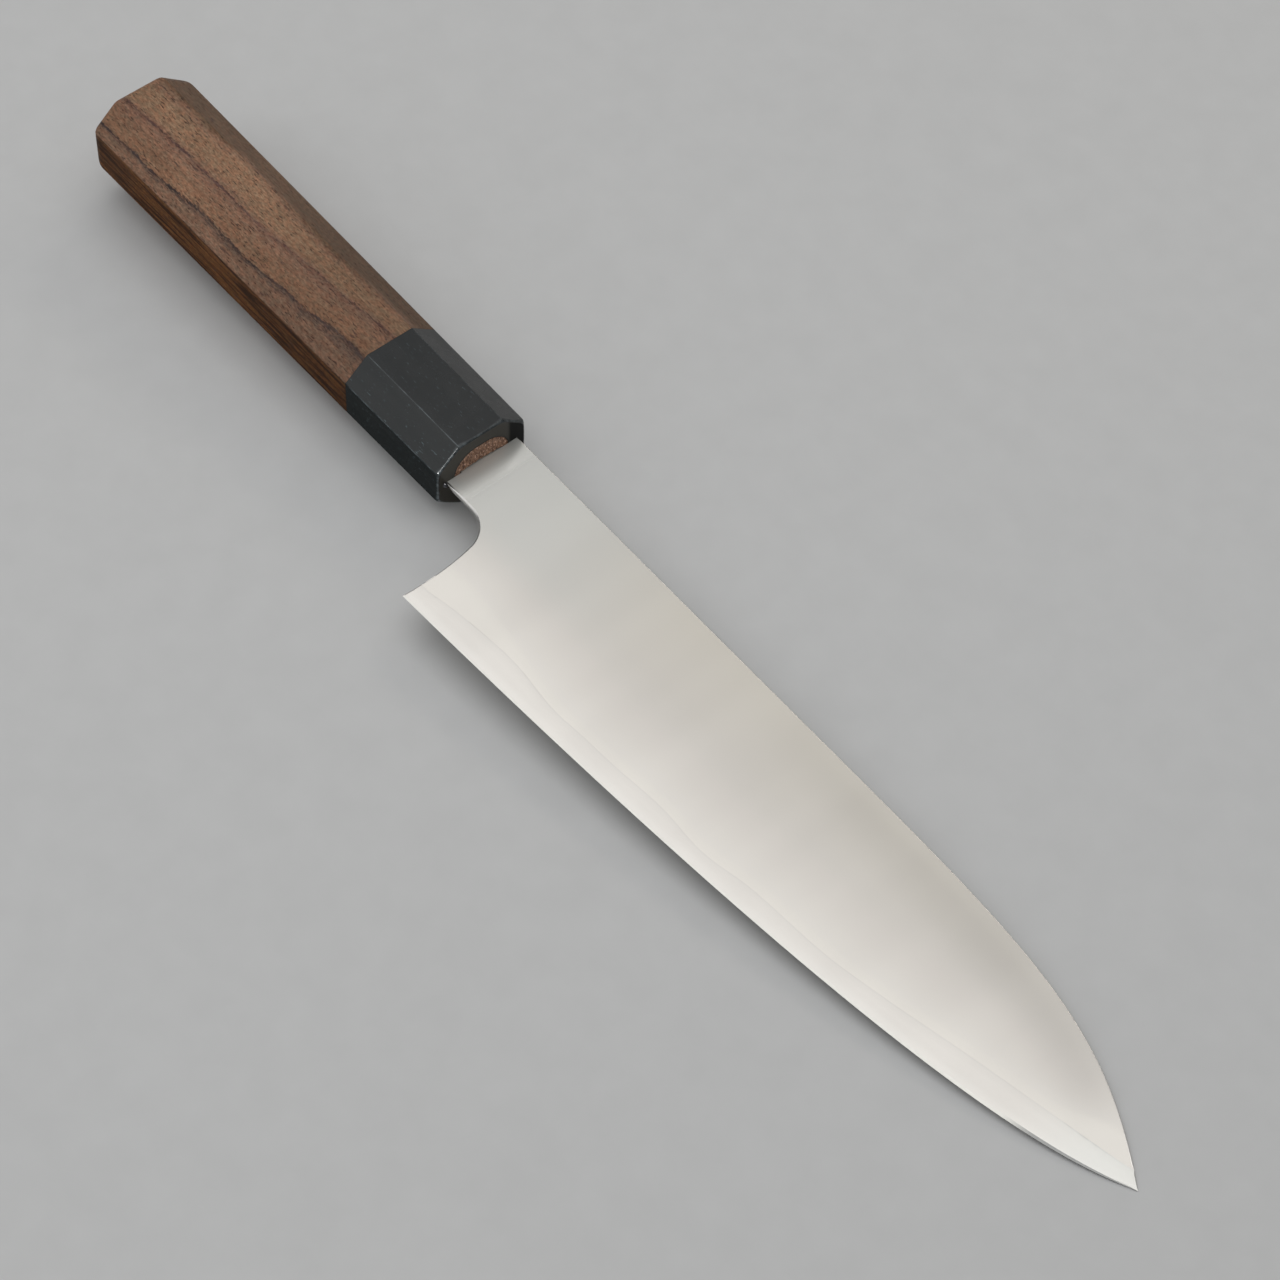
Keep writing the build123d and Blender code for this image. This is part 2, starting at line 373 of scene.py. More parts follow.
def shell(grid, top, bottom, bands, wall_band=0):
    """Closed skin between two sheets over one grid: the top sheet, the bottom one turned over,
    and walls along the four sides."""
    points = np.vstack([np.dstack([grid, sheet]).reshape(-1, 3) for sheet in (top, bottom)])
    t = np.arange(top.size).reshape(top.shape)
    b = t + top.size
    over = quads_between(t)
    walls = [
        np.stack([t[:-1, 0], b[:-1, 0], b[1:, 0], t[1:, 0]], 1),
        np.stack([t[1:, -1], b[1:, -1], b[:-1, -1], t[:-1, -1]], 1),
        np.stack([t[0, 1:], b[0, 1:], b[0, :-1], t[0, :-1]], 1),
        np.stack([t[-1, :-1], b[-1, :-1], b[-1, 1:], t[-1, 1:]], 1),
    ]
    quads = np.vstack([over, over[:, ::-1] + top.size] + walls)
    on_walls = np.full(len(quads) - 2 * len(over), wall_band)
    return points, quads, np.concatenate([bands.ravel(), bands.ravel(), on_walls])


def join(*shells):
    """Several skins in one piece."""
    points, quads, bands = zip(*shells)
    starts = np.cumsum([0] + [len(p) for p in points[:-1]])
    quads = [q + start for q, start in zip(quads, starts)]
    return np.vstack(points), np.vstack(quads), np.concatenate(bands)


# ------------------------------------------------------------------ materials

BLACK = (0.0, 0.0, 0.0)


class Finish:
    """A material with a Principled shader, and short ways to add the nodes that drive it. All
    patterns are measured in millimetres on the object's own coordinates."""

    def __init__(self, name, roughness, metallic=0.0, ior=1.5):
        self.material = bpy.data.materials.new(name)
        self.material.use_nodes = True
        self.tree = self.material.node_tree
        self.shader = self.tree.nodes["Principled BSDF"]
        self.shader.inputs["Roughness"].default_value = roughness
        self.shader.inputs["Metallic"].default_value = metallic
        self.shader.inputs["IOR"].default_value = ior
        self.place = self.add("ShaderNodeTexCoord").outputs["Object"]

    def add(self, kind, **settings):
        node = self.tree.nodes.new(kind)
        for key, value in settings.items():
            setattr(node, key, value)
        return node

    def feed(self, socket, source):
        """Puts a number, a colour or another node's output into a socket."""
        if isinstance(source, bpy.types.NodeSocket):
            self.tree.links.new(source, socket)
        elif isinstance(source, (tuple, list)) and len(source) == 3 and socket.type == "RGBA":
            socket.default_value = (*source, 1.0)
        else:
            socket.default_value = source

    def set(self, name, source):
        self.feed(self.shader.inputs[name], source)

    def stretched(self, size, turn=(0, 0, 0), shift=(0, 0, 0)):
        """The object's coordinates, with these lengths in millimetres as units."""
        node = self.add("ShaderNodeMapping")
        node.inputs["Scale"].default_value = [METRE / s for s in size]
        node.inputs["Rotation"].default_value = turn
        node.inputs["Location"].default_value = shift
        self.feed(node.inputs["Vector"], self.place)
        return node.outputs["Vector"]

    def noise(self, size, detail=2.0, roughness=0.5, turn=(0, 0, 0), shift=(0, 0, 0)):
        """Noise with features of this size along each axis, from 0 to 1."""
        node = self.add("ShaderNodeTexNoise")
        self.feed(node.inputs["Vector"], self.stretched(size, turn, shift))
        node.inputs["Scale"].default_value = 1.0
        node.inputs["Detail"].default_value = detail
        node.inputs["Roughness"].default_value = roughness
        return node.outputs["Fac"]

    def axis(self, letter):
        """One coordinate in millimetres."""
        node = self.add("ShaderNodeSeparateXYZ")
        self.feed(node.inputs[0], self.stretched((1, 1, 1)))
        return node.outputs[letter]

    def value(self, name):
        """A value that the piece carries on its points."""
        return self.add("ShaderNodeAttribute", attribute_name=name).outputs["Fac"]

    def maths(self, operation, a, b=0.0):
        node = self.add("ShaderNodeMath", operation=operation)
        self.feed(node.inputs[0], a)
        self.feed(node.inputs[1], b)
        return node.outputs[0]

    def plus(self, a, b):
        return self.maths("ADD", a, b)

    def minus(self, a, b):
        return self.maths("SUBTRACT", a, b)

    def times(self, product, *factors):
        for factor in factors:
            product = self.maths("MULTIPLY", product, factor)
        return product

    def spread(self, source, low, high, to_low=0.0, to_high=1.0, smooth=True):
        """Maps a range onto another one and stops at its ends."""
        kind = "SMOOTHSTEP" if smooth else "LINEAR"
        node = self.add("ShaderNodeMapRange", interpolation_type=kind)
        for socket, number in zip(node.inputs, (source, low, high, to_low, to_high)):
            self.feed(socket, number)
        return node.outputs[0]

    def stops(self, source, colours):
        """Colour ramp through (place, colour) stops."""
        node = self.add("ShaderNodeValToRGB")
        ramp = node.color_ramp
        while len(ramp.elements) < len(colours):
            ramp.elements.new(1.0)
        for element, (place, colour) in zip(ramp.elements, colours):
            element.position = place
            element.color = (*colour, 1.0)
        self.feed(node.inputs[0], source)
        return node.outputs["Color"]

    def tones(self, pattern, low, high):
        """Two colours, for the low and the high parts of a noise."""
        return self.stops(pattern, [(0.3, low), (0.7, high)])

    def mix(self, share, a, b, blend="MIX"):
        node = self.add("ShaderNodeMix", data_type="RGBA", blend_type=blend)
        self.feed(node.inputs[0], share)
        self.feed(node.inputs[6], a)
        self.feed(node.inputs[7], b)
        return node.outputs[2]

    def shaded(self, colour, shade):
        """A colour times a number."""
        grey = self.add("ShaderNodeCombineColor")
        for socket in grey.inputs:
            self.feed(socket, shade)
        return self.mix(1.0, colour, grey.outputs[0], blend="MULTIPLY")

    def relief(self, height, depth):
        """Sets a relief of this depth in millimetres."""
        node = self.add("ShaderNodeBump")
        node.inputs["Strength"].default_value = 1.0
        node.inputs["Distance"].default_value = depth / METRE
        self.feed(node.inputs["Height"], height)
        self.set("Normal", node.outputs["Normal"])


def ground_marks(finish, colour, line_shade):
    """Fine lines across the blade from spine to edge, where a wheel ground it, and broad soft
    bands of the same direction."""
    hairlines = finish.noise((0.12, 14.0, 6.0), detail=3.0, roughness=0.65)
    passes = finish.noise((1.6, 60.0, 20.0), detail=3.0, roughness=0.6)
    waves = finish.noise((16.0, 90.0, 40.0), detail=1.0)
    lines = finish.plus(finish.times(hairlines, 0.55), finish.times(passes, 0.45))
    shade = finish.spread(lines, 0.3, 0.7, 1 - line_shade, 1 + line_shade, smooth=False)
    shade = finish.times(shade, finish.spread(waves, 0.3, 0.7, 0.98, 1.02))
    finish.set("Base Color", finish.shaded(colour, shade))
    rough = finish.shader.inputs["Roughness"].default_value
    finish.set("Roughness", finish.spread(lines, 0.3, 0.7, rough - 0.012, rough + 0.016))
    finish.relief(hairlines, 0.0004)


def clad_steel():
    """Soft stainless layer: warm satin grey, with its reflection painted in: painted lighter where
    it ends above the core and painted darker towards the spine, most of all along the spine's
    falling part, painted cooler and darker by the neck and painted lighter just by the ferrule. It
    is hazy by the neck."""
    finish = Finish("clad_steel", 0.25)
    x, y = finish.axis("X"), finish.axis("Y")
    # Painted reflection: the colour runs from painted lighter where the soft layer ends to painted
    # darker towards the spine; the shift moves that run near heel and tip.
    shift = finish.plus(
        finish.spread(x, 20.0, 55.0, 6.0, 0.0), finish.spread(x, 202.0, 220.0, 0.0, 5.0)
    )
    height = finish.minus(finish.value("above_clad_line"), shift)
    tones = [
        (0.0, (0.680, 0.648, 0.600)), (1.5, (0.667, 0.635, 0.588)), (3.0, (0.645, 0.614, 0.572)),
        (7.0, (0.622, 0.590, 0.547)), (11.0, (0.596, 0.564, 0.523)), (17.0, (0.556, 0.528, 0.486)),
        (22.0, (0.540, 0.512, 0.467)), (40.0, (0.540, 0.509, 0.450)),
    ]  # fmt: skip
    highest = tones[-1][0]
    place = finish.maths("DIVIDE", height, highest)
    colour = finish.stops(place, [(gap / highest, tone) for gap, tone in tones])

    # Painted shade: darker along the spine's falling part, where the face reflects less light.
    below_spine = finish.value("below_spine")
    painted_shade_along_spine = finish.times(
        finish.spread(below_spine, 16.0, 5.0),
        finish.spread(below_spine, 0.5, 4.5, 0.45, 1.0),
        finish.times(finish.spread(x, 85.0, 135.0), finish.spread(x, 216.0, 202.0)),
        0.10,
    )
    colour = finish.mix(painted_shade_along_spine, colour, BLACK)
    # Painted shade: cooler and darker by the neck.
    painted_shade_by_neck = finish.times(finish.spread(x, 70.0, 12.0), finish.spread(y, -22.0, -6.0))
    colour = finish.mix(painted_shade_by_neck, colour, (0.512, 0.508, 0.478))
    # Painted light: the colour is lifted in a strip just by the ferrule's face.
    painted_light_by_ferrule = finish.times(
        finish.spread(x, 2.0, 4.5, 0.20, 0.48),
        finish.spread(x, 7.6, 4.7),
        finish.spread(y, 1.0, 9.0, 1.0, 0.45),
    )
    colour = finish.shaded(colour, finish.plus(painted_light_by_ferrule, 1.0))
    finish.set("Metallic", finish.spread(x, 4.0, 8.0, 0.33, 0.82))
    ground_marks(finish, colour, 0.024)
    return finish.material


def core_steel():
    """Hard middle layer where it is bare: painted lighter just above the bevel and painted cooler
    at the tip, as painted reflection, and a little darker in a thin line under the soft layers'
    end."""
    finish = Finish("core_steel", 0.24, metallic=0.82)
    # Painted reflection: lighter just above the bevel.
    painted_light_above_bevel = finish.spread(finish.value("above_edge"), 0.8, 3.2)
    colour = finish.mix(painted_light_above_bevel, (0.708, 0.680, 0.638), (0.676, 0.645, 0.604))
    # Painted reflection: cooler by the tip.
    at_tip = finish.spread(finish.axis("X"), 198.0, 220.0)
    colour = finish.mix(at_tip, colour, (0.700, 0.690, 0.652))
    gap = finish.value("above_clad_line")
    by_line = finish.plus(
        finish.spread(gap, -2.4, -0.5, 0.0, 0.035), finish.spread(gap, -0.45, -0.2, 0.0, 0.035)
    )
    ground_marks(finish, finish.mix(by_line, colour, BLACK), 0.018)
    return finish.material


def bevel_steel():
    """Sharpening bevel: fine stone marks along the edge, bright, and painted grey by the tip, a
    painted dark reflection.
    """
    finish = Finish("bevel_steel", 0.26, metallic=0.9)
    marks = finish.noise((3.0, 0.05, 0.05))
    bright = finish.tones(marks, (0.60, 0.585, 0.545), (0.74, 0.725, 0.68))
    # Painted shade: the bevel's tone by the tip, a painted dark reflection.
    grey = finish.tones(marks, (0.25, 0.25, 0.245), (0.35, 0.35, 0.34))
    at_tip = finish.spread(finish.axis("X"), 197.0, 207.0)
    finish.set("Base Color", finish.mix(at_tip, bright, grey))
    finish.relief(marks, 0.001)
    return finish.material


def polished_steel():
    """Rounded spine, painted lighter than polished steel as a painted highlight, and neck and choil
    painted darker as painted shade: polished, with faint marks along the curve.
    """
    finish = Finish("polished_steel", 0.2, metallic=1.0)
    haze = finish.noise((1.2, 1.2, 0.2))
    # Painted highlight on the spine's rounding, beyond what its polish gives; painted shade on neck
    # and choil.
    polish_and_painted_highlight = finish.tones(haze, (0.84, 0.81, 0.76), (0.92, 0.89, 0.84))
    painted_shade_on_back = finish.tones(haze, (0.46, 0.45, 0.43), (0.58, 0.57, 0.55))
    x, y = finish.axis("X"), finish.axis("Y")
    at_back = finish.times(finish.spread(x, 30.0, 24.0), finish.spread(y, 2.0, -2.0))
    finish.set("Base Color", finish.mix(at_back, polish_and_painted_highlight, painted_shade_on_back))
    finish.set("Roughness", finish.spread(haze, 0.3, 0.7, 0.14, 0.26))
    return finish.material


def black_horn():
    """Black horn: satin gloss, faint streaks along its length, a few bluish scratches, and creases
    and rim that are smoother and painted paler in patches, a painted highlight. Its two side facets
    shine less."""
    finish = Finish("black_horn", 0.27, ior=1.45)
    streaks = finish.noise((22.0, 2.5, 2.5), detail=3.0)
    dark, pale = (0.0020, 0.0032, 0.0034), (0.0048, 0.0058, 0.0058)
    colour = finish.stops(streaks, [(0.35, dark), (0.75, pale)])
    specks = finish.noise((1.6, 0.22, 0.22), detail=1.0, turn=(0.2, 0.1, 0.9), shift=(4, 2, 7))
    colour = finish.mix(finish.spread(specks, 0.70, 0.76), colour, (0.032, 0.045, 0.050))
    # Painted highlight: creases and rim are painted paler in patches, and they are smoother.
    on_crease_and_rim = finish.value("crease")
    patches = finish.noise((3.5, 1.0, 1.0), detail=3.0, shift=(2, 5, 1))
    sanding_and_painted_highlight = finish.times(on_crease_and_rim, finish.spread(patches, 0.35, 0.65, 0.15, 0.60))
    finish.set("Base Color", finish.mix(sanding_and_painted_highlight, colour, (0.075, 0.088, 0.094)))
    gloss = finish.spread(finish.noise((5.0, 5.0, 5.0)), 0.3, 0.7, 0.25, 0.31)
    finish.set("Roughness", finish.times(gloss, finish.spread(on_crease_and_rim, 0.0, 1.0, 1.0, 0.45)))
    finish.set("Specular IOR Level", finish.spread(finish.value("side"), 0.0, 1.0, 0.5, 0.03))
    return finish.material


def sanded_horn():
    """The ferrule's front face: sanded square to the handle, dull and a little brown, and painted
    black past the blade's spine, a painted shade."""
    finish = Finish("sanded_horn", 0.33, ior=1.45)
    sanding_and_painted_highlight = finish.noise((2.0, 0.35, 0.12), detail=4.0, roughness=0.7)
    dark, pale = (0.0095, 0.0085, 0.0055), (0.022, 0.0182, 0.0118)
    brown = finish.stops(sanding_and_painted_highlight, [(0.3, dark), (0.75, pale)])
    # Painted shade: the face is painted black past the blade's spine.
    painted_shade_past_spine = finish.spread(finish.axis("Y"), 7.2, 8.8)
    finish.set("Base Color", finish.mix(painted_shade_past_spine, brown, (0.002, 0.002, 0.002)))
    finish.set("Specular IOR Level", finish.spread(painted_shade_past_spine, 0.0, 1.0, 0.5, 0.08))
    finish.relief(sanding_and_painted_highlight, 0.004)
    return finish.material


def wood_layer(points):
    """Number of the growth layer at each point: y less the tilt times the depth below the top
    facet, then stretched so that the three dark lines, and the crease where the heartwood
    starts, have their own numbers at every x."""
    x, y, z = points.T
    spread = -x * TAPER
    top = FRONT_HALF_THICKNESS + spread
    crease = FRONT_HALF_HEIGHT - CORNER_CUT + spread * tan(CORNER_ANGLE / 2)
    side = FRONT_HALF_HEIGHT + spread
    heart = -side - LAYER_TILT * (side - crease) * tan(CORNER_ANGLE)
    height = y + LAYER_TILT * (z - top)

    def line_height(line):
        path = smooth_through(line)
        at = np.interp(x, path[:, 0], path[:, 1])
        fall = np.maximum(np.abs(at) - crease, 0) * tan(CORNER_ANGLE)
        return at - LAYER_TILT * fall

    lower, middle, upper = (line_height(line) for line in (LOWER_LINE, MIDDLE_LINE, UPPER_LINE))
    first, second, third = LINE_NUMBERS
    number = first + (second - first) * (height - lower) / (middle - lower)
    number = np.where(height > middle, third * (height - middle) / (upper - middle), number)
    below = first + (HEARTWOOD_AND_SHADE_NUMBER - first) * (lower - height) / (lower - heart)
    number = np.where(height < lower, below, number)
    number = np.where(height < heart, HEARTWOOD_AND_SHADE_NUMBER + height - heart, number)
    return np.where(height > upper, third + height - upper, number)


def handle_wood():
    """Reddish brown wood. The piece carries the number of its growth layers, which is bent here
    at three scales. A ramp over it gives golden, red and brown layers, with ragged dark lines
    along three of them and striped heartwood beyond, painted much darker as painted shade on the
    side facet past its crease. Short fibres and pores lie along X."""
    finish = Finish("handle_wood", 0.5, ior=1.47)

    def bent(layer, size, reach):
        return finish.plus(layer, finish.times(finish.minus(finish.noise(size), 0.5), reach))

    def varied(colour, pattern, low, high):
        return finish.shaded(colour, finish.spread(pattern, 0.3, 0.7, low, high, smooth=False))

    straight = finish.value("layer")
    ragged = bent(bent(straight, (4.5, 1.2, 1.2), 0.8), (0.9, 0.4, 0.4), 1.2)
    soft = bent(ragged, (9.0, 2.0, 2.0), 3.0)

    def growth_line(wood, number, half_width, patches, colour):
        """A dark line along one layer, wider and darker in patches; patches gives the noise at
        which it is faintest, how faint it is there, and the noise's shift."""
        start, faintest, shift = patches
        strength = finish.noise((5.0, 2.0, 2.0), detail=3.0, shift=shift)
        away = finish.maths("ABSOLUTE", finish.minus(ragged, number))
        width = finish.spread(strength, start, start + 0.3, 0.5 * half_width, half_width)
        line = finish.spread(finish.maths("DIVIDE", away, width), 0.35, 1.0, 1.0, 0.0)
        share = finish.times(line, finish.spread(strength, start, start + 0.3, faintest, 1.0))
        return finish.mix(share, wood, colour)

    golden, tan_brown, red = (0.286, 0.170, 0.104), (0.248, 0.145, 0.095), (0.240, 0.136, 0.092)
    orange, brown, olive = (0.276, 0.155, 0.094), (0.240, 0.140, 0.092), (0.150, 0.090, 0.055)
    span = 44.0
    ramp = [
        (-12.0, brown), (-9.6, brown), (-8.4, (0.150, 0.094, 0.070)), (-7.9, (0.185, 0.108, 0.070)),
        (-7.3, orange), (-5.6, orange), (-3.4, (0.262, 0.149, 0.094)), (-1.2, red),
        (-0.2, (0.195, 0.108, 0.076)), (0.5, tan_brown), (1.8, golden), (5.6, golden),
        (7.4, tan_brown), (9.0, olive),
    ]  # fmt: skip
    place = finish.plus(finish.maths("DIVIDE", soft, span), 0.5)
    figure = finish.stops(place, [(number / span + 0.5, colour) for number, colour in ramp])
    # Heartwood and painted shade: from the crease down, the side facet's own stripes are painted
    # much darker for the shade it lies in.
    stripes = finish.spread(finish.noise((16.0, 1.1, 1.1), shift=(6, 1, 3)), 0.35, 0.65)
    heartwood_and_painted_shade = finish.mix(stripes, (0.042, 0.0145, 0.004), (0.170, 0.070, 0.022))
    in_heart_and_painted_shade = finish.spread(straight, HEARTWOOD_AND_SHADE_NUMBER - 0.2, HEARTWOOD_AND_SHADE_NUMBER + 0.2, 1.0, 0.0)
    figure = finish.mix(in_heart_and_painted_shade, figure, heartwood_and_painted_shade)

    along = finish.axis("X")
    by_ferrule = finish.spread(along, -80.0, -50.0)
    lower_dark = finish.mix(by_ferrule, (0.052, 0.036, 0.034), (0.092, 0.060, 0.052))
    lower, middle, upper = LINE_NUMBERS
    figure = growth_line(figure, upper, 0.24, (0.50, 0.0, (3, 1, 5)), (0.105, 0.064, 0.046))
    figure = growth_line(figure, middle, 0.42, (0.36, 0.15, (7, 2, 1)), (0.105, 0.058, 0.050))
    figure = growth_line(figure, lower, 0.43, (0.30, 0.55, (1, 6, 2)), lower_dark)

    mottle = finish.spread(finish.noise((1.7, 0.8, 0.8), shift=(5, 2, 9)), 0.35, 0.65)
    tint = finish.mix(mottle, (1.05, 0.95, 0.91), (0.97, 1.03, 1.03))
    figure = finish.mix(1.0, figure, tint, blend="MULTIPLY")
    fibres = finish.noise((1.05, 0.42, 0.42), detail=3.0, roughness=0.62)
    figure = varied(figure, fibres, 0.62, 1.38)
    figure = varied(figure, finish.noise((7.0, 0.7, 0.7)), 0.86, 1.14)
    figure = varied(figure, finish.noise((14.0, 5.0, 5.0), detail=1.0), 0.96, 1.10)
    ends = finish.times(
        finish.spread(along, -95.0, -48.0, 1.0, 0.78),
        finish.spread(along, -132.0, -108.0, 0.93, 1.0),
    )
    under_line = finish.times(
        finish.spread(ragged, -10.4, -9.2), finish.spread(ragged, -7.6, -8.0), by_ferrule
    )
    under_line = finish.spread(under_line, 0.0, 1.0, 1.0, 1.20)
    figure = finish.shaded(figure, finish.times(ends, under_line))

    threads = finish.noise((3.0, 0.32, 0.32), detail=1.0, shift=(2, 8, 4))
    threads = finish.times(
        finish.spread(threads, 0.52, 0.62),
        finish.spread(ragged, -10.4, -8.4),
        finish.spread(ragged, -7.9, -8.2),
        0.5,
    )
    figure = finish.mix(threads, figure, (0.060, 0.040, 0.037))
    pores = finish.spread(finish.noise((1.7, 0.30, 0.30), detail=1.0), 0.63, 0.70)
    figure = finish.mix(finish.times(pores, 0.75), figure, (0.045, 0.026, 0.022))
    gaps = finish.spread(finish.noise((2.8, 0.65, 0.65), detail=1.0, shift=(1, 4, 6)), 0.67, 0.73)
    figure = finish.mix(finish.times(gaps, 0.6), figure, (0.065, 0.038, 0.034))
    finish.set("Base Color", figure)
    finish.set("Roughness", finish.spread(pores, 0.0, 1.0, 0.47, 0.68))
    finish.set("Specular IOR Level", finish.spread(in_heart_and_painted_shade, 0.0, 1.0, 0.15, 0.04))
    finish.relief(finish.minus(finish.times(fibres, 0.5), pores), 0.03)
    return finish.material


def dowel_wood():
    """Rough cut end of the dowel: torn fibres, reddish brown with pale salmon tips."""
    finish = Finish("dowel_wood", 0.6, ior=1.47)
    torn = finish.noise((2.0, 0.60, 1.5), detail=4.0, roughness=0.7)
    tips = finish.noise((2.0, 0.45, 0.8), detail=3.0, shift=(3, 7, 1))
    tones = [(0.3, (0.075, 0.036, 0.021)), (0.5, (0.32, 0.170, 0.105)), (0.7, (0.64, 0.37, 0.24))]
    brown = finish.stops(torn, tones)
    salmon = (0.86, 0.56, 0.42)
    finish.set("Base Color", finish.mix(finish.spread(tips, 0.55, 0.66), brown, salmon))
    finish.relief(torn, 0.2)
    return finish.material


def set_adhesive(name, colour, roughness):
    """Dark set adhesive, slightly lumpy."""
    finish = Finish(name, roughness)
    lumps = finish.noise((0.5, 0.5, 0.5))
    finish.set("Base Color", finish.tones(lumps, colour, [c * 1.8 for c in colour]))
    finish.relief(lumps, 0.02)
    return finish.material


def pale_floor():
    """A plain pale ground, faintly speckled."""
    finish = Finish("pale_floor", 0.6)
    speck = finish.noise((9.0, 9.0, 9.0), detail=3.0)
    finish.set("Base Color", finish.tones(speck, (0.60, 0.60, 0.595), (0.62, 0.62, 0.615)))
    return finish.material


# ------------------------------------------------------------------ the blade

SIDE, BEVEL, POLISH = 0, 1, 2  # places in a layer's list of materials
round_turn = np.linspace(0, pi / 2, 9)
ROUND_GAPS = np.concatenate([1 - np.cos(round_turn), [1.12, 1.45]])  # in easing radii
ROUND_RISE = np.concatenate([np.sin(round_turn), [1.0, 1.0]])
ROUNDED = len(ROUND_RISE)  # rows of points that a rounding takes

BACK_STATIONS, CLAD_STATIONS, EDGE_STATIONS = 150, 420, 560
CHOIL_PARTNER = (21.0, 25.0)  # a distance round the back, and its partner's along the spine
CLAD_START_PARTNER = 54.0  # where along the spine the partner of the clad line's start lies
HEEL_PARTNER = 62.0  # and that of the heel


def stations_of(lower_end, after_path, after_count, corner_partner):
    """Stations of a layer of the blade, from the ferrule round the choil and on to the tip: each
    lower point, its partner on the spine, how far round the back it lies, and 1 on the back or
    0 past it. Partners are given by their distance along the spine."""
    back_run = np.linspace(0, lower_end, BACK_STATIONS)
    after_length = lengths_along(after_path)[-1]
    after_run = np.linspace(0, after_length, after_count)[1:]
    lower = np.vstack([point_at(back, back_run), point_at(after_path, after_run)])
    pairs = [(0, 0), (CHOIL_START, CHOIL_START), CHOIL_PARTNER, (lower_end, corner_partner)]
    partner = np.interp(back_run, *zip(*pairs))
    end = np.interp(after_path[-1, 0], spine[:, 0], lengths_along(spine))
    partner_after = corner_partner + (end - corner_partner) * after_run / after_length
    upper = point_at(spine, np.concatenate([partner, partner_after]))
    run = np.concatenate([back_run, np.full(len(after_run), lower_end)])
    return lower, upper, run, np.repeat([1.0, 0.0], [len(back_run), len(after_run)])


def tang_shell(bottom_half, top_half, sign=1):
    """The tang's share of a layer: a flat bar that tapers in height and thickness. Where no top
    half is given, it ends in the tang's own surface."""
    stations, rows = 12, 7
    share = np.linspace(1, 0, stations)[:, None] * np.ones(rows)
    height, outer = (start + (end - start) * share for start, end in (TANG_HEIGHTS, TANG_HALVES))
    grid = np.dstack([-TANG_LENGTH * share, height / 2 * np.linspace(-1, 1, rows)])
    top = outer if top_half is None else np.full(share.shape, top_half)
    bottom = np.full(share.shape, bottom_half)
    if sign < 0:
        top, bottom = -bottom, -top
    return shell(grid, top, bottom, np.full((stations - 1, rows - 1), SIDE))


def layer_values(values, tang):
    """Values of a layer's points: the same on both its sheets, and one number on the tang."""
    on_tang = np.full(len(tang[0]), TANG_VALUE)
    return {name: np.concatenate([v.ravel(), v.ravel(), on_tang]) for name, v in values.items()}


def build_cladding(name, sign, finish):
    """A soft layer: the blade's side down to the clad line, laid on the core. Its outer sheet is
    rounded off along spine, neck and choil, and meets its inner sheet there."""
    clad_run = np.interp(CLAD_LINE[0][1], back[::-1, 1], lengths_along(back)[::-1])
    lower, upper, run, on_back = stations_of(
        clad_run, clad_line, CLAD_STATIONS, CLAD_START_PARTNER
    )
    easing = np.interp(run, *zip(*BACK_EASINGS))[:, None]
    high_gaps = np.full((len(lower), 1), SPINE_EASING) * ROUND_GAPS
    grid = fan_grid(lower, upper, easing * ROUND_GAPS, high_gaps, middle=46)
    x, y = grid[:, :, 0], grid[:, :, 1]
    outer = np.maximum(side_height(x, y), CORE_HALF + LEAST_CLAD)
    rise = np.ones_like(outer)
    fade = np.clip((clad_run - run) / BACK_FADE, 0, 1) * on_back
    rise[:, :ROUNDED] = 1 + (ROUND_RISE - 1) * fade[:, None]
    rise[:, -ROUNDED:] *= ROUND_RISE[::-1]
    top = CORE_HALF + (outer - CORE_HALF) * rise
    bottom = np.full_like(top, CORE_HALF)
    bands = np.full((len(lower) - 1, top.shape[1] - 1), SIDE)
    polished = len(round_turn) - 1  # quads across the quarter round
    bands[:, :polished] = np.where(on_back[1:, None] > 0, POLISH, SIDE)
    bands[:, -polished:] = POLISH
    if sign < 0:
        top, bottom = -bottom, -top
    tang = tang_shell(CORE_HALF, None, sign)
    points, quads, band = join(shell(grid, top, bottom, bands), tang)
    below_spine = np.interp(x, spine[:, 0], spine[:, 1]) - y
    values = {"above_clad_line": above(clad_line, x, y), "below_spine": below_spine}
    piece = make_piece(name, points, quads, finish, band, values=layer_values(values, tang))
    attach(piece, "root")
    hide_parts(name.replace("_steel", ""))


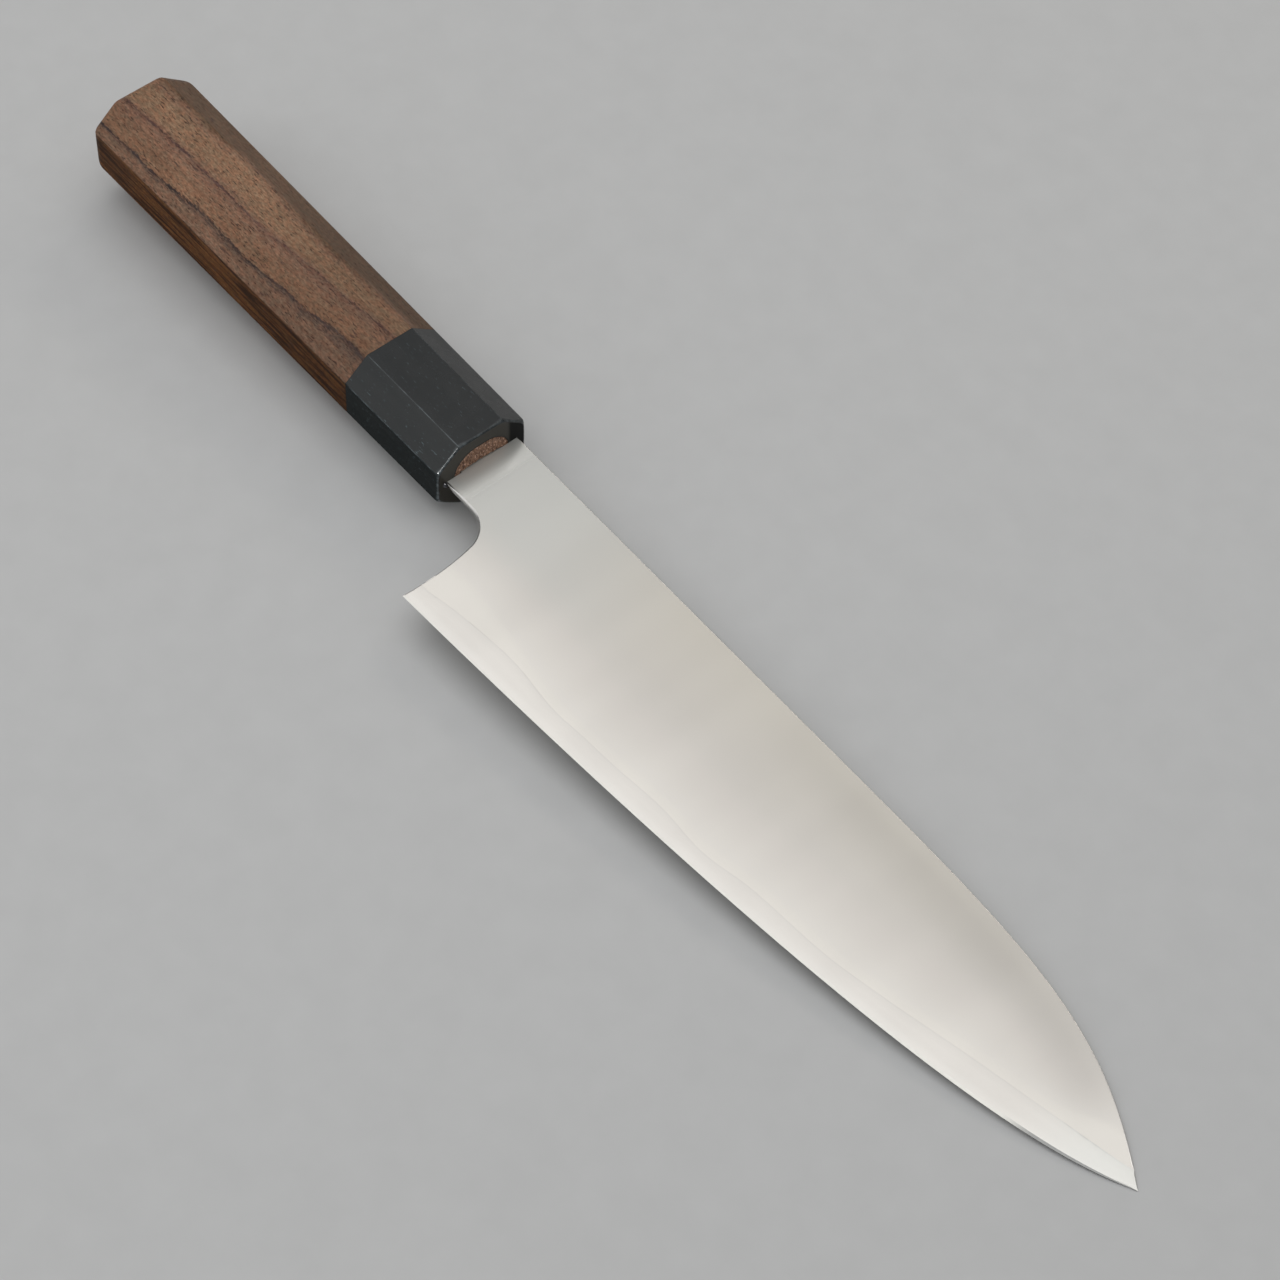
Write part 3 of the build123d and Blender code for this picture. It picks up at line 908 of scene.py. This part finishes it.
def build_core(finish):
    """The hard middle layer: bare below the clad line, where its sides are the blade's sides,
    just under the soft layers in a narrow lap past it, and sunk farther above that. The bevel
    ends in the cutting edge."""
    lower, upper, run, on_back = stations_of(back_length, edge, EDGE_STATIONS, HEEL_PARTNER)
    width = bevel_width(lower[:, 0])[:, None]
    clad_height = np.interp(lower[:, 0], clad_line[:, 0], clad_line[:, 1]) - lower[:, 1]
    at_back, least, most = 5.0, 2.0, 9.0
    clad_height = np.where(on_back > 0, at_back, np.clip(clad_height, least, most))[:, None]
    bevel_rows = width * np.array([0, 0.45, 0.92, 1.0, 1.08, 1.5])
    bare_rows = clad_height * np.array([0.3, 0.45, 0.6, 0.75, 0.88, 0.96, 1.0, 1.04, 1.1, 1.2])
    high_gaps = np.full((len(lower), 1), CORE_EASING) * ROUND_GAPS
    grid = fan_grid(lower, upper, np.hstack([bevel_rows, bare_rows]), high_gaps, middle=8)
    x, y = grid[:, :, 0], grid[:, :, 1]
    side = side_height(x, y)
    gap = above(clad_line, x, y)
    lap = np.interp(x, LAP_ENDS, [LAP_AT_CHOIL, LAP])
    before_tip = x <= clad_end[0]
    sunk = before_tip * np.clip((gap - lap) / LAP, 0, 1) ** 0.5
    lapped = before_tip * LAP_DROP * np.clip(gap / LAP, 0, 1) ** 0.5
    top = side + (CORE_HALF - side) * np.where(side > CORE_HALF, sunk, 0) - lapped
    at_tip = np.clip((upper[:, 0] - clad_end[0]) / TIP_FADE, 0, 1)[:, None]
    top[:, -ROUNDED:] *= 1 + (ROUND_RISE[::-1] - 1) * at_tip
    bare_choil = np.interp(run, *zip(*CHOIL_THINNING))
    top[:, 0] *= np.where(on_back > 0, bare_choil, 1.0)
    bands = np.full((len(lower) - 1, top.shape[1] - 1), SIDE)
    on_bevel = 3  # quads from the edge up to the bevel's whole width
    bands[:, :on_bevel] = np.where(on_back[1:, None] > 0, SIDE, BEVEL)
    tang = tang_shell(-CORE_HALF, CORE_HALF)
    points, quads, band = join(shell(grid, top, -top, bands, wall_band=POLISH), tang)
    values = layer_values({"above_clad_line": gap, "above_edge": above(edge, x, y)}, tang)
    piece = make_piece("blade_core_steel", points, quads, finish, band, values=values)
    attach(piece, "root")
    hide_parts("blade_core")


# ------------------------------------------------------------------ the handle

FACET_POINTS, CREASE_POINTS = 14, 7


def octagon(outward, crease):
    """Ring round the octagon whose facets all stand this far out of their place at the front:
    each corner is an arc of the crease radius between two facets, each facet an even run of
    points. Returns points and outward directions in (y, z)."""
    bevel_facing = pi / 2 - CORNER_ANGLE
    corner = np.array([FRONT_HALF_HEIGHT, FRONT_HALF_THICKNESS - CORNER_CUT * tan(CORNER_ANGLE)])
    bevel_distance = corner @ direction(bevel_facing)
    facing = np.array([0, bevel_facing, pi / 2, pi - bevel_facing])
    facing = np.concatenate([facing, facing + pi, [2 * pi]])
    distance = [FRONT_HALF_HEIGHT, bevel_distance, FRONT_HALF_THICKNESS, bevel_distance]
    reach = np.array(2 * distance + distance[:1]) + outward - crease
    arcs = []
    for i in range(8):
        centre = np.linalg.solve([direction(a) for a in facing[i : i + 2]], reach[i : i + 2])
        angle = np.linspace(facing[i], facing[i + 1], CREASE_POINTS)
        round_corner = np.column_stack([np.cos(angle), np.sin(angle)])
        arcs.append((centre + crease * round_corner, round_corner))
    points, normals = [], []
    share = np.linspace(0, 1, FACET_POINTS + 2)[1:-1, None]
    for i in range(8):
        start, end = arcs[i - 1][0][-1], arcs[i][0][0]
        points += [start + (end - start) * share, arcs[i][0]]
        normals += [np.repeat(arcs[i][1][:1], FACET_POINTS, 0), arcs[i][1]]
    return np.vstack(points), np.vstack(normals)


outline, _ = octagon(0.0, CREASE_RADIUS)
growth = octagon(1.0, CREASE_RADIUS)[0] - outline  # where each point goes as the facets move out
ring_angles = np.arctan2(outline[:, 1], outline[:, 0])
crease_middles = outline[FACET_POINTS + CREASE_POINTS // 2 :: FACET_POINTS + CREASE_POINTS]


def obround(half_height, half_thickness, angles):
    """Ring of a slot shape at these angles: a rectangle with a half round at each end of Y. On
    the flats the distance is the half thickness over the sine, and elsewhere it comes from the
    circle of that radius about the end's centre."""
    offset = half_height - half_thickness
    c, s = np.cos(angles), np.abs(np.sin(angles))
    flat = half_thickness / np.maximum(s, 1e-9)
    on_end = offset * np.abs(c) + np.sqrt(np.maximum(half_thickness**2 - (offset * s) ** 2, 0))
    distance = np.where(flat * np.abs(c) <= offset, flat, on_end)
    y, z = distance * c, distance * np.sin(angles)
    away = np.where(np.abs(y) > offset, y - np.sign(y) * offset, 0.0)
    normal = np.column_stack([away, z])
    return np.column_stack([y, z]), normal / np.hypot(*normal.T)[:, None]


def loft(rings):
    """Skin through rings of equal numbers of points, each (x, y, z), closed round each ring."""
    number = np.arange(rings.shape[0] * rings.shape[1]).reshape(rings.shape[:2])
    return rings.reshape(-1, 3), quads_between(np.hstack([number, number[:, :1]]))


class Profile:
    """Collects rings along a skin, with their normals and places in the list of materials."""

    def __init__(self):
        self.rings, self.normals, self.bands = [], [], []

    def add(self, x, flat_points, normals, band=0):
        """A ring at x, which may differ from point to point, with its normals."""
        x = np.broadcast_to(x, len(flat_points))
        self.rings.append(np.column_stack([x, flat_points]))
        self.normals.append(normals / np.maximum(np.linalg.norm(normals, axis=1), 1e-9)[:, None])
        self.bands.append(band)

    def ring(self, x, flat_points, flat_normals, tilt, band=0):
        """A ring at x. Its normals lean from square to the axis by tilt: pi/2 faces +X."""
        lean = np.full(len(flat_points), sin(tilt))
        self.add(x, flat_points, np.column_stack([lean, flat_normals * cos(tilt)]), band)

    def skin(self):
        """Points, quads, each point's normal and each quad's place in the list of materials."""
        points, quads = loft(np.array(self.rings))
        bands = np.repeat(self.bands[1:], len(self.rings[0]))
        return points, quads, np.vstack(self.normals), bands


def outer_ring(profile, x, inset=0.0, tilt=0.0):
    """Ring on the handle's outer form, set in from it by this much."""
    points, normals = octagon(-x * TAPER - inset, max(CREASE_RADIUS - inset, 0.12))
    profile.ring(x, points, normals, tilt)


def rim(profile, x, radius, facing, steps):
    """Quarter round between the outer form and an end face. Facing is 1 for a front end, when
    the rings run from the face out to the form, and -1 for a back end, from form to face."""
    for turn in np.linspace(0, pi / 2, steps)[::-facing]:
        inset = radius * (1 - cos(turn))
        outer_ring(profile, x - facing * radius * (1 - sin(turn)), inset, facing * turn)


def face_rings(profile, x, inner, outer, shares, facing, band=0):
    """Flat end face: rings from the inner outline to the outer one, or back."""
    for share in shares:
        points = inner + (outer - inner) * share
        profile.ring(x, points, np.zeros_like(points), facing * pi / 2, band)


def bore_wall(profile, start, end, steps):
    """Wall of the bore, facing its axis."""
    for x in np.linspace(start, end, steps):
        profile.ring(x, bore, -bore_facing, 0.0)


bore, bore_facing = obround(BORE_HALF_HEIGHT, BORE_HALF_THICKNESS, ring_angles)


def build_ferrule(finish):
    """The horn collar: from the bore's back end forward to the mouth, over the front face and
    rim, back along the facets and in over the joint face to the bore again. The rim is a
    quarter ellipse, deepest at the creases."""
    polished, sanded = 0, 1
    profile = Profile()
    bore_wall(profile, -FERRULE_LENGTH, -MOUTH_EASING, 12)
    for turn in np.linspace(pi / 8, pi / 2, 4):
        wider = MOUTH_EASING * (1 - cos(turn))
        mouth, _ = obround(BORE_HALF_HEIGHT + wider, BORE_HALF_THICKNESS + wider, ring_angles)
        profile.ring(-MOUTH_EASING * (1 - sin(turn)), mouth, -bore_facing, turn, sanded)
    face, facing = octagon(-FERRULE_RIM, FRONT_CORNER_RADIUS)
    face_rings(profile, 0.0, mouth, face, np.linspace(0, 1, 10)[1:-1], 1, sanded)
    from_crease = np.linalg.norm(outline[:, None] - crease_middles, axis=2).min(1)
    by_crease = np.exp(-((from_crease / FRONT_CREASE_REACH) ** 2))
    depth = FERRULE_RIM + FRONT_CREASE_DEPTH * by_crease
    facet_start = outline + (depth * TAPER)[:, None] * growth
    for turn in np.linspace(pi / 2, 0, 12):
        flat = face + (facet_start - face) * cos(turn)
        forward = np.full(len(depth), FERRULE_RIM * sin(turn))
        lean = np.column_stack([forward, facing * (depth * cos(turn))[:, None]])
        band = sanded if turn == pi / 2 else polished
        profile.add(-depth * (1 - sin(turn)), flat, lean, band)
    square = np.column_stack([np.zeros(len(facing)), facing])
    for share in np.linspace(0, 1, 24)[1:]:
        x = -depth + (JOINT_RIM - FERRULE_LENGTH + depth) * share
        profile.add(x, outline - (x * TAPER)[:, None] * growth, square)
    rim(profile, -FERRULE_LENGTH, JOINT_RIM, -1, 4)
    joint = profile.rings[-1][:, 1:]
    face_rings(profile, -FERRULE_LENGTH, bore, joint, [0.66, 0.33, 0.0], -1)
    points, quads, normals, bands = profile.skin()
    across = np.concatenate([np.zeros(FACET_POINTS), np.sin(np.linspace(0, pi, CREASE_POINTS))])
    across = np.tile(across, len(points) // len(across))
    on_crease = np.where(points[:, 0] > 0.4 - FERRULE_LENGTH, across, 0.0)
    turned = np.abs(normals[:, 0])
    on_rim = 2 * turned * np.sqrt(1 - np.minimum(turned, 1) ** 2)
    facing_side = np.clip((np.abs(normals[:, 1]) - 0.80) / 0.12, 0, 1)
    values = {"crease": np.maximum(on_crease, on_rim), "side": facing_side}
    piece = make_piece("horn_ferrule", points, quads, finish, bands, normals, values)
    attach(piece, "root")
    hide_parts("ferrule")
    return piece


def build_handle(finish):
    """The wooden body: from the bore's blind end forward to the joint face, back along the
    facets, round the butt's rim, which is a quarter ellipse from the octagon to an outline with
    round corners, and over the low crown, whose height falls with the square of the distance."""
    profile = Profile()
    bore_end = sleeve_low[0]
    face_rings(profile, bore_end, bore * 0, bore, [0.0, 0.5, 0.98], 1)
    bore_wall(profile, bore_end, -FERRULE_LENGTH, 14)
    joint, _ = octagon(FERRULE_LENGTH * TAPER - JOINT_RIM, CREASE_RADIUS - JOINT_RIM)
    face_rings(profile, -FERRULE_LENGTH, bore, joint, [0.02, 0.4, 0.98], 1)
    rim(profile, -FERRULE_LENGTH, JOINT_RIM, 1, 4)
    rim_end = -BUTT + BUTT_CROWN
    rim_start = rim_end + BUTT_RIM_DEPTH
    for x in np.linspace(-FERRULE_LENGTH - JOINT_RIM, rim_start, 60)[1:-1]:
        outer_ring(profile, x)
    form, _ = octagon(-rim_start * TAPER, CREASE_RADIUS)
    end, facing = octagon(-rim_start * TAPER - BUTT_INSET, BUTT_CORNER_RADIUS)
    for turn in np.linspace(0, pi / 2 - LEAN_AT_CROWN, 16):
        flat = end + (form - end) * cos(turn)
        backward = np.full(len(flat), -BUTT_INSET * sin(turn))
        lean = np.column_stack([backward, facing * BUTT_RIM_DEPTH * cos(turn)])
        profile.add(rim_end + BUTT_RIM_DEPTH * (1 - sin(turn)), flat, lean)
    edge_x, edge_ring = profile.rings[-1][:, 0], profile.rings[-1][:, 1:]
    crown = edge_x + BUTT
    reach = np.hypot(*edge_ring.T)
    for share in np.linspace(1, 0, 16)[1:]:
        slope = 2 * share * crown / reach
        lean = np.column_stack([-np.ones(len(reach)), edge_ring * (slope / reach)[:, None]])
        profile.add(-BUTT + crown * share**2, edge_ring * share, lean)
    points, quads, normals, bands = profile.skin()
    values = {"layer": wood_layer(points)}
    piece = make_piece("wooden_handle", points, quads, finish, bands, normals, values)
    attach(piece, "root")
    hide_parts("handle_body")


def torn_relief(y, z):
    """Relief of torn end fibres in millimetres: ridges that run across the blade's plane, from
    sines of y with their phases bent by sines of z, deeper towards the middle."""
    bend = 0.5 * np.sin(1.9 * z + 0.8) + 0.3 * np.sin(4.3 * z + 2.1)
    fine = np.sin(9.1 * y + 3.0 * bend) * np.sin(2.3 * z + 1.7 * np.sin(2.9 * y))
    coarse = np.sin(3.7 * y + 1.3 * bend + 0.6) * np.sin(1.1 * z + 0.4 + np.sin(1.7 * y))
    splinters = np.sin(21.0 * y + 2.0 * np.sin(5.0 * z)) * np.sin(6.0 * z + 2.6 * np.sin(7.0 * y))
    return 0.05 * fine + 0.07 * coarse + 0.03 * splinters


def build_dowel(finish):
    """The dowel that holds the tang: from the slot's end forward to the mouth, over its torn end
    face, which sinks a little by the slot and the rim, back along the outside and over the far
    end."""
    corner = np.arctan2(SLOT_HALF_THICKNESS, SLOT_HALF_HEIGHT)
    corners = np.array([corner, -corner, pi - corner, corner - pi])
    angles = np.unique(np.concatenate([np.linspace(-pi, pi, 361)[:-1], corners]))
    way = np.column_stack([np.cos(angles), np.sin(angles)])
    halves = np.array([SLOT_HALF_HEIGHT, SLOT_HALF_THICKNESS])
    slot = way * (halves / np.maximum(np.abs(way), 1e-9)).min(1)[:, None]
    outside, _ = obround(DOWEL_HALF_HEIGHT, DOWEL_HALF_THICKNESS, angles)
    places = [(-SLOT_DEPTH, slot * share) for share in (0.0, 0.5)]
    places += [(x, slot) for x in np.linspace(-SLOT_DEPTH, -0.5, 8)]
    steps = 70
    for share in np.linspace(0, 1, steps):
        flat = slot + (outside - slot) * share
        sink = 0.16 + 0.25 * np.exp(-share * steps / 3.0) + 0.10 * np.exp((share - 1) * steps / 2.0)
        places.append((np.minimum(torn_relief(*flat.T) - sink, -0.005), flat))
    places += [(x, outside) for x in np.linspace(-0.6, -DOWEL_LENGTH, 10)]
    places += [(-DOWEL_LENGTH, outside * share) for share in (0.5, 0.0)]
    rings = [np.column_stack([np.broadcast_to(x, len(flat)), flat]) for x, flat in places]
    points, quads = loft(np.array(rings))
    piece = make_piece("dowel_end_grain", points, quads, finish)
    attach(piece, "root")
    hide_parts("handle_dowel")


def build_bead(finish):
    """Bead of adhesive in the corner below the neck: a ball whose radius swells and dips with
    low sines of its two angles, flattened against the ferrule's face."""
    tilt = np.linspace(0, pi, 33)[:, None]
    spin = np.linspace(0, 2 * pi, 65)[None, :-1]
    waves = 0.10 * np.sin(2 * spin + 1.0) * np.sin(tilt) + 0.06 * np.cos(3 * tilt + 0.5)
    swell = bead_high[0] * (0.92 + waves)
    x = np.maximum(swell * np.sin(tilt) * np.cos(spin) * 0.85, 0.0)
    y = swell * np.sin(tilt) * np.sin(spin) * 0.8 - NECK_DROP - 0.25
    z = swell * np.cos(tilt) + 0.15
    points, quads = loft(np.dstack([x, y, z]))
    piece = make_piece("bead_of_adhesive", points, quads, finish)
    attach(piece, "root")
    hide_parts("adhesive_bead")
    return piece


bevel_and_spine = [bevel_steel(), polished_steel()]
clad_finish = [clad_steel()] + bevel_and_spine
build_cladding("right_cladding_steel", 1, clad_finish)
build_cladding("left_cladding_steel", -1, clad_finish)
build_core([core_steel()] + bevel_and_spine)
ferrule = build_ferrule([black_horn(), sanded_horn()])
build_handle([handle_wood()])
build_dowel([dowel_wood()])
glossy_adhesive = set_adhesive("bead_adhesive", (0.012, 0.012, 0.014), roughness=0.12)
dull_adhesive = set_adhesive("bedding_adhesive", (0.010, 0.009, 0.008), roughness=0.5)
bead = build_bead([glossy_adhesive])
for hidden in ("tang_bedding", "dowel_adhesive"):
    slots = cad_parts[hidden].data.materials
    slots.clear()
    slots.append(dull_adhesive)

# ------------------------------------------------------------------ floor, light and camera

# On a flat table the knife rests on the ferrule's lower front edge and on the tip
REST_POINT = -1.0  # x of that front edge
TABLE_GAP = 0.2  # what the table lies under the tip
table_tilt = np.arctan2(FRONT_HALF_THICKNESS, TIP[0] - REST_POINT)
table_up = Vector((-sin(table_tilt), 0.0, cos(table_tilt)))
table_point = Vector((TIP[0], 0.0, 0.0)) / METRE - table_up * (TABLE_GAP / METRE)


def build_floor():
    """A wide square in the table's plane."""
    reach = 6.0
    along = Vector((cos(table_tilt), 0.0, sin(table_tilt)))
    side = Vector((0.0, 1.0, 0.0))
    signs = [(-1, -1), (1, -1), (1, 1), (-1, 1)]
    corners = [table_point + along * a * reach + side * b * reach for a, b in signs]
    mesh = bpy.data.meshes.new("floor")
    mesh.from_pydata([tuple(c) for c in corners], [], [(0, 1, 2, 3)])
    mesh.materials.append(pale_floor())
    floor = bpy.data.objects.new("floor", mesh)
    bpy.context.scene.collection.objects.link(floor)


def soft_light(name, towards, size, power, aim=(0.0, 0.0, 0.0), colour=(1, 1, 1), only=()):
    """A flat lamp a metre from the aim, facing it. It lights these pieces only, if some are
    given."""
    lamp = bpy.data.lights.new(name, "AREA")
    lamp.shape = "RECTANGLE"
    lamp.size, lamp.size_y = size
    lamp.energy = power
    lamp.color = colour
    thing = bpy.data.objects.new(name, lamp)
    facing = Vector(towards).normalized()
    thing.location = Vector(aim) + facing
    thing.rotation_euler = facing.to_track_quat("Z", "Y").to_euler()
    bpy.context.scene.collection.objects.link(thing)
    if only:
        thing.light_linking.receiver_collection = bpy.data.collections.new(name + "_pieces")
        for piece in only:
            thing.light_linking.receiver_collection.objects.link(piece)


def pale_surroundings(strength, horizon):
    """Soft light from all round, brightest overhead and dimmer towards the horizon."""
    world = bpy.data.worlds.new("studio")
    world.use_nodes = True
    background = world.node_tree.nodes["Background"]
    background.inputs["Color"].default_value = (0.97, 0.985, 1.0, 1.0)
    nodes, links = world.node_tree.nodes, world.node_tree.links
    upwards = nodes.new("ShaderNodeSeparateXYZ")
    links.new(nodes.new("ShaderNodeTexCoord").outputs["Generated"], upwards.inputs[0])
    rise = nodes.new("ShaderNodeMapRange")
    links.new(upwards.outputs["Z"], rise.inputs[0])
    for socket, number in zip(list(rise.inputs)[1:5], (0.0, 0.7, horizon, strength)):
        socket.default_value = number
    links.new(rise.outputs[0], background.inputs["Strength"])
    bpy.context.scene.world = world


def place_camera():
    """The photograph's view: where it was taken from, and the directions of its right, down and
    forward, found from the octagon and the blade's outline."""
    right = Vector((0.63713, 0.77014, 0.03081))
    down = Vector((0.64251, -0.50862, -0.57314))
    forward = Vector((-0.42573, 0.38496, -0.81888))
    place = Vector((422.36, -330.1, 695.33))
    turned = Matrix((right, -down, -forward)).transposed().to_4x4()
    turned.translation = place / METRE
    lens = bpy.data.cameras.new("camera")
    lens.sensor_width = 36.0
    lens.lens = 107.53
    camera = bpy.data.objects.new("camera", lens)
    camera.matrix_world = turned
    bpy.context.scene.collection.objects.link(camera)
    bpy.context.scene.camera = camera


build_floor()
soft_light("overhead_softbox", (0.0, 0.0, 1.0), (1.2, 1.2), 3.8, aim=(-0.15, -0.04, 0.0))
soft_light("left_softbox", (-0.494, -0.718, 0.493), (0.7, 0.7), 1.05)
soft_light("side_glint", (0.25, -0.875, 0.42), (0.3, 0.26), 12.0, only=(ferrule, bead))
soft_light("far_glint", (-0.22, 0.77, 0.53), (0.7, 0.15), 0.7, colour=(1.0, 0.92, 0.80))
pale_surroundings(strength=0.45, horizon=0.10)
place_camera()
bpy.context.scene.view_settings.view_transform = "Standard"
